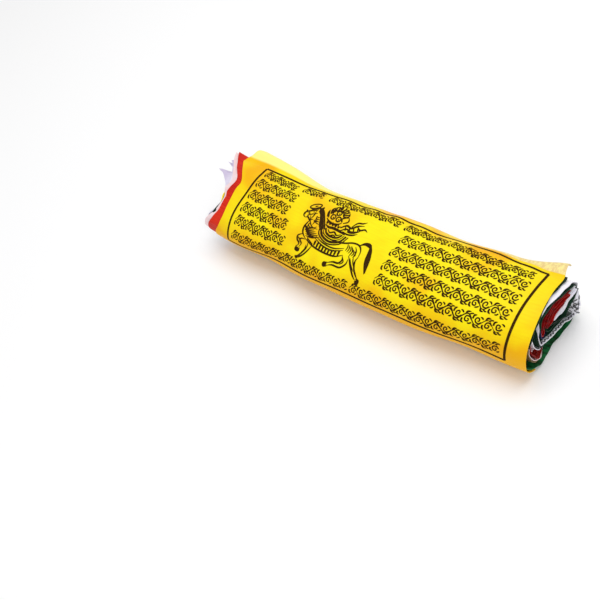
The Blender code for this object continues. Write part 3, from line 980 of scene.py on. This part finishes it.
white_under_right = [
    (-11.4, 10.6, -6), (-13.4, 9.0, -4), (-15.6, 6.4, -3), (-16.7, 3.8, -2.6), (-16.1, 0.2, -2.4),
    (-14.3, -3.4, -2.4), (-12.0, -6.2, -2.6), (-8.5, -7.2, -3), (-2, -7.9, -5), (5, -9.0, -7),
    (12, -10.4, -7),
]
white_under_left = round_rows([
    (47, 1.9, 19.0), (65, 1.9, 14.9), (80, 1.9, 9.8), (89, 1.9, 6.9), (94, 1.9, 6.4), (100, 1.9, 7.4),
    (104, 1.9, 7.0), (111, 1.9, 5.0), (126, 1.9, 5.4), (139, 1.9, 7.4), (152, 1.9, 9.9),
    (168, 1.9, 11.6), (185, 1.9, 12.2), (198, 1.9, 9.0), (210, 1.6, 4.0), (224, 1.4, 2.6),
])
green_inner_right = [
    (-9.6, 11.4, -3), (-12.0, 9.4, -0.6), (-13.3, 6.2, 0.7), (-12.9, 1.6, 1.0), (-12.0, -2.0, 1.1),
    (-9.8, -3.6, 1.0), (-5.4, -4.4, 0.6), (0, -5.7, 0.2), (5.6, -7.2, -0.4), (11, -9.7, -0.6),
    (15.6, -11.0, -0.6),
]
white_rim_right = [
    (-10.6, 9.8, -5), (-13.6, 7.6, -1.7), (-15.2, 4.6, -0.5), (-14.9, 1.0, -0.1), (-13.2, -2.3, 0.1),
    (-10.6, -4.4, 0.2), (-7.4, -5.4, -0.4), (-2, -6.4, -2), (5, -7.9, -4), (11, -10.2, -5),
]
dark_rim_left = rows_at(2.3, [
    (84, 3), (96, 5), (105, 6.0), (113, 5.6), (122, 5.9), (133, 7.0),
    (140, 7.9), (150, 9.6), (165, 10.4), (180, 8), (200, 3),
])
white_main_right = [
    (18.0, 4.2, 1.2), (18.0, 7.6, 1.4), (14.2, 10.6, 1.3), (9.4, 12.4, 1.1), (0, 13.6, 0.4),
    (-8, 12.2, -0.4), (-12.2, 7.6, 0.5), (-12.6, 4.4, 1.0), (-11.9, 0.6, 1.1), (-11.2, -1.7, 1.1),
    (-9.4, -2.6, 1.1), (-5.6, -3.2, 1.1), (-0.2, -4.6, 1.2), (5.3, -6.1, 1.3), (10.8, -8.5, 1.3),
    (16.0, -10.2, 1.3),
]
white_main_left = [
    (17.2, 3.0, -1), (14.0, 7.6, 1), (10.8, 10.0, 9), (9.6, 10.2, 19.6), (8.2, 10.5, 13.0),
    (6.2, 10.8, 8.4), (5.2, 11.0, 14.5), (4.3, 11.1, 22.4), (2.6, 11.3, 17.4), (0.6, 11.4, 14.4),
    (-1.6, 11.4, 11.6), (-4.4, 11.2, 9.4), (-7.4, 10.4, 8.0), (-12.0, 7.4, 5.0), (-12.8, 2.8, 3),
    (-11.0, -1.2, 2), (-7.6, -3.4, 1), (-2.2, -4.6, 1), (3.8, -6.2, 1), (8.8, -8.2, 1), (12.5, -9.6, 1),
    (15.8, -10.4, 1),
]
white_rim_left = rows_at(3.0, [
    (52, 12.0), (59, 18.8), (64, 16.4), (72, 13.4), (82, 10.4), (90, 8.0),
    (98, 7.0), (108, 5.0), (122, 5.0), (136, 7.8), (150, 10.4),
    (165, 10.6), (182, 6),
])
yellow_inner_right = [
    (-12.3, 8.6, -9), (-13.2, 6, -9), (-12.7, 2.6, -9), (-11.4, -0.2, -9), (-9, -2.3, -9),
    (-4.6, -3.8, -9), (1, -5.0, -9), (7, -6.8, -9), (11.6, -8.8, -9),
]
yellow_inner_left = rows_at(2.8, [
    (88, 2), (100, 4.6), (106, 6.8), (112, 7.4), (118, 6.6), (126, 6.0),
    (136, 6.4), (150, 7.0), (165, 6.5), (180, 5), (200, 3),
])
green_fold_right = [
    (17.0, 5.4, 1.6), (16.8, 7.2, 1.8), (13.2, 9.6, 1.7), (9.2, 11.1, 1.6), (0, 12.5, 1.0),
    (-7.3, 11.3, 0.2), (-11.2, 6.6, 0.5), (-11.1, 2.6, 0.4), (-10.3, 0.0, 0.3), (-8.6, -0.9, 0.2),
    (-4.6, -1.7, 0.2), (0.9, -3.2, 0.2), (6.4, -4.7, 0.2), (10.6, -6.9, 0.2), (14.4, -8.6, 0.2),
]
blue_right = [
    (13, 8.6, -0.6), (8.8, 10.4, -0.6), (3.4, 11.6, -0.6), (-2, 11.8, -0.8), (-6.9, 10.5, -0.6),
    (-10.2, 6.4, 0.2), (-10.1, 2.2, 0.7), (-8.8, 0.3, 0.8), (-6, -0.6, 0), (-1, -1.8, -1),
    (5, -3.4, -2), (10, -5.4, -3),
]
red_folds_right = [
    (12.0, 8.8, 1.6), (4, 11.0, 1.3), (-2, 11.2, 0.9), (-6.5, 9.8, 0.6), (-9.6, 6.0, 0.7),
    (-9.5, 2.4, 0.7), (-8.2, 1.1, 0.4), (-6.9, 2.0, 0.2), (-7.4, 4.0, 0.6), (-8.1, 6.0, 0.9),
    (-5.7, 8.7, 1.0), (-1.8, 10.1, 1.2), (3.8, 9.9, 1.5), (10.2, 8.3, 1.8), (10.6, 7.5, 1.9),
    (9.2, 7.3, 1.9), (3, 8.4, 1.7), (-1.6, 8.3, 1.5), (-5.2, 6.6, 1.2), (-6.1, 4.6, 0.9),
    (-5.2, 3.9, 0.8), (-3.2, 5.2, 1.3), (-0.4, 6.4, 1.6), (3.2, 6.9, 1.8), (8.0, 6.6, 1.9),
]
lilac_folds_right = [
    (15.8, 7.6, 1.8), (11.2, 7.0, 1.9), (7, 6.3, 1.9), (3.4, 5.8, 1.9), (0.6, 5.3, 1.7),
    (-1.6, 4.9, 1.4), (-1.0, 4.2, 1.4), (2.0, 3.9, 1.9), (4.8, 3.2, 2.0), (6.8, 3.8, 2.0),
    (9.4, 4.9, 2.0), (12.4, 5.5, 2.1), (16.2, 5.9, 2.1),
]
core_right = [
    (17.3, 5.0, 2.6), (14.4, 4.8, 2.8), (11.0, 4.4, 2.8), (8.4, 3.3, 2.8), (6.5, 1.8, 2.7),
    (6.0, -0.4, 2.3), (4.6, -1.0, 1.4), (1.0, 0.4, 0.9), (-2.4, 2.2, 0.6), (-4.4, 2.6, 0.3),
    (-5.4, 1.6, 0.2), (-4.6, 0.2, 0.2), (-1.2, -0.9, 0.3), (3.0, -2.4, 0.4), (6.8, -3.6, 0.4),
    (10.4, -5.6, 0.4),
]

green_outer_left = shifted_out(green_outer_right, (-6, -6, -6, -4, -2, -1, 0.3, 0.3, 0.3, 0.2, 0))

# The flags from the outermost in: name, satin, rows at the left and right, and how low it may lie
LAYERS = (
    # A real green flag, painted dark as painted shade of the gap under the yellow's edge
    ("green_flag_top", PAINTED_SHADE_GREEN_SATIN, shifted_out(green_top_right, -6), green_top_right, 0.9),
    ("green_flag_outer", GREEN_SATIN, green_outer_left, green_outer_right, 0.42),
    # A yellow flag painted dark tan as painted shade
    ("painted_shade_yellow_flag", PAINTED_SHADE_YELLOW_SATIN, shifted_out(painted_shade_yellow_right, -7), painted_shade_yellow_right, 0.7),
    ("lilac_flag_outer", PAINTED_SHADE_PINK_SATIN, shifted_out(lilac_outer_right, -7), lilac_outer_right, 0.8),
    ("red_flag_outer", RED_SATIN, red_outer_left, red_outer_right, 1.2),
    ("white_flag_under", PAINTED_SHADE_PINK_SATIN, white_under_left, white_under_right, 1.6),
    ("white_flag_rim", WHITE_SATIN, white_rim_left, white_rim_right, 2.0),
    ("green_flag_inner", PAINTED_SHADE_GREEN_SATIN, dark_rim_left, green_inner_right, 2.2),
    ("yellow_flag_inner", PLAIN_YELLOW_SATIN, yellow_inner_left, yellow_inner_right, 2.4),
    ("white_flag_main", WHITE_SATIN, white_main_left, white_main_right, 2.8),
    ("green_flag_fold", PAINTED_SHADE_GREEN_SATIN, shifted_out(green_fold_right, -2), green_fold_right, 3.0),
    ("blue_flag", BLUE_SATIN, shifted_out(blue_right, -3), blue_right, 3.2),
    ("red_flag_folds", PAINTED_SHADE_RED_SATIN, shifted_out(red_folds_right, -1.5), red_folds_right, 3.4),
    ("lilac_flag_folds", WHITE_SATIN, shifted_out(lilac_folds_right, -1), lilac_folds_right, 3.6),
    ("green_flag_core", PAINTED_SHADE_GREEN_SATIN, shifted_out(core_right, -0.5), core_right, 3.8),
)
NO_FLUTES = ((0, 0, 0), (0, 0, 0))
FLUTES = {
    "red_flag_outer": ((0.25, 9, 1), (0.2, 7, 0)),
    "white_flag_under": ((0.25, 8, 0), (0.1, 5, 0)),
    "white_flag_main": ((0, 0, 0), (0.15, 6, 0)),
    "red_flag_folds": ((0.1, 4, 0), (0.12, 4.2, 0.5)),
    "lilac_flag_folds": ((0.1, 4, 0), (0.1, 3.8, 0)),
}
LEFT_CURL = {"white_flag_main": 0.45, "white_flag_rim": -0.35, "white_flag_under": 0.25}
GRID_STEP = 0.8

layers = {}
for number, (name, material, left_rows, right_rows, rests_at) in enumerate(LAYERS):
    flutes = FLUTES.get(name, NO_FLUTES)
    surface = Layer(left_rows, right_rows, rests_at, flutes, number * 1.7, LEFT_CURL.get(name, 0.0))
    steps = int(surface.length / MM / GRID_STEP) + 2
    downs = np.linspace(0, surface.length, steps)
    piece = cloth_piece(name, surface, downs, stations(74, 0.75), SATIN_THICK, material)
    layers[name] = (surface, piece)

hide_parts("wound_flags")

# The heading tape


tape = FoldedTape()
tape_alongs = np.linspace(0, tape.length, 760)
tape_downs = np.linspace(0, tape.width, 7)
grid_along, grid_down = np.meshgrid(tape_alongs, tape_downs, indexing="ij")
heading_tape = piece_from(
    "folded_tape", tape.at(grid_along, grid_down), grid_faces(*grid_along.shape),
    np.stack([grid_along, grid_down], -1), tape.thick, TAPE_TWILL,
)
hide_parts("heading_tape")

ZIGZAG_PITCH = 2.2
THREAD_WIDTH = 0.5
THREAD_THICK = 0.12 * MM
THREAD_LIFT = 0.05 * MM


def corners_between(start, end, pitch):
    """The places of a zigzag's corners from one end of a seam to the other."""
    return np.linspace(start, end, int(abs(end - start) / (pitch / 2)) + 1)


def zigzag(name, surface, height, places, middles, swing, width, down_cloth=False):
    """A zigzag seam along the cloth, or down it, that swings to both sides of its middles."""
    strokes = Strokes(surface, height, THREAD_THICK)
    middles = np.broadcast_to(middles, len(places))
    swings = [swing if k % 2 else -swing for k in range(len(places))]
    corners = list(zip(places, middles + swings))
    if down_cloth:
        corners = [(across, place) for place, across in corners]
    for one, other in zip(corners, corners[1:]):
        halfway = (one[0] + other[0]) / 2, (one[1] + other[1]) / 2
        strokes.stroke([one, halfway, other], width, (1, 1))
    return strokes.piece(name, DARK_THREAD)


tape_mm = tape.length / MM
tape_middle = tape.width / MM / 2
on_tape = tape.thick / 2 + THREAD_LIFT
places = corners_between(1, tape_mm - 1, ZIGZAG_PITCH)
for name, side in (("tape_seam_outer", 1), ("tape_seam_inner", -1)):
    seam = zigzag(name, tape, side * on_tape, places, tape_middle, 2.0, THREAD_WIDTH)

# Two seams across the tape on its last bend at the right, by their distance from the tape's end
places = corners_between(0.6, 10.6, 3.2)
for name, before_end in (("fold_seam_near", 178.6), ("fold_seam_far", 181.9)):
    seam = zigzag(name, tape, on_tape, places, tape_mm - before_end, 0.95, 0.42, down_cloth=True)

# A seam along the right end of the white flag, on the side that faces the roll's middle
EDGE_TO_SEAM = 0.85
main_surface = layers["white_flag_main"][0]
main_mm = main_surface.length / MM
places = corners_between(main_mm * 0.60, main_mm - 0.5, 2.0)
middles = main_surface.edge(places * MM, 1) / MM - EDGE_TO_SEAM
under_satin = -(SATIN_THICK / 2 + THREAD_LIFT)
seam = zigzag("edge_seam", main_surface, under_satin, places, middles, 0.42, 0.46, down_cloth=True)

# Floor, light and camera


FLOOR_HALF = 4.0
WORLD_STRENGTH = 0.58
# Area lights: place, what each points at, its width, all in metres, and its power in watts
LIGHTS = {
    "key": ((0.02, 0.24, 0.98), (0, 0, 0), 0.9, 5.7),
    "fill": ((0.75, -0.55, 0.60), (0.05, 0, 0.01), 0.7, 2.0),
}
# The camera, by the photo: its place, and its turn about Z, tilt from straight down and roll
CAMERA_PLACE = (209.224 * MM, -183.346 * MM, 292.66 * MM)
CAMERA_TURN = 57.683
CAMERA_TILT = 43.955
CAMERA_ROLL = -23.448
FOCAL_LENGTH = 50
SENSOR_WIDTH = 36


def pale_floor():
    finish = Finish("pale_floor", roughness=0.9, specular_ior_level=0.1)
    grain = finish.noise(finish.node("ShaderNodeTexCoord", None, None, 3), 3.0)
    finish.wear(base_color=finish.mix(grain, (0.965, 0.965, 0.97, 1), (0.975, 0.975, 0.975, 1)))
    low, high = -FLOOR_HALF, FLOOR_HALF
    mesh = bpy.data.meshes.new("floor")
    mesh.from_pydata([(low, low, 0), (high, low, 0), (high, high, 0), (low, high, 0)], [], [(0, 1, 2, 3)])
    mesh.materials.append(finish.material)
    floor = bpy.data.objects.new("floor", mesh)
    bpy.context.scene.collection.objects.link(floor)


def studio():
    scene = bpy.context.scene
    scene.view_settings.view_transform = "Standard"
    world = bpy.data.worlds.new("studio")
    scene.world = world
    world.use_nodes = True
    background = world.node_tree.nodes["Background"]
    background.inputs["Color"].default_value = (1.0, 1.0, 1.0, 1)
    background.inputs["Strength"].default_value = WORLD_STRENGTH
    for name, (place, aim, wide, power) in LIGHTS.items():
        light = bpy.data.lights.new(name, "AREA")
        light.shape = "SQUARE"
        light.size = wide
        light.energy = power
        lamp = bpy.data.objects.new(name, light)
        scene.collection.objects.link(lamp)
        away = Vector(place) - Vector(aim)
        lamp.matrix_world = Matrix.Translation(place) @ away.to_track_quat("Z", "Y").to_matrix().to_4x4()


def camera():
    view = bpy.data.cameras.new("camera")
    view.lens = FOCAL_LENGTH
    view.sensor_width = SENSOR_WIDTH
    view.sensor_fit = "HORIZONTAL"
    view.clip_start = 0.01
    seen = bpy.data.objects.new("camera", view)
    bpy.context.scene.collection.objects.link(seen)
    turns = ((CAMERA_TURN, "Z"), (CAMERA_TILT, "X"), (CAMERA_ROLL, "Z"))
    placing = Matrix.Translation(CAMERA_PLACE)
    for angle, axis in turns:
        placing = placing @ Matrix.Rotation(math.radians(angle), 4, axis)
    seen.matrix_world = placing
    bpy.context.scene.camera = seen


pale_floor()
studio()
camera()
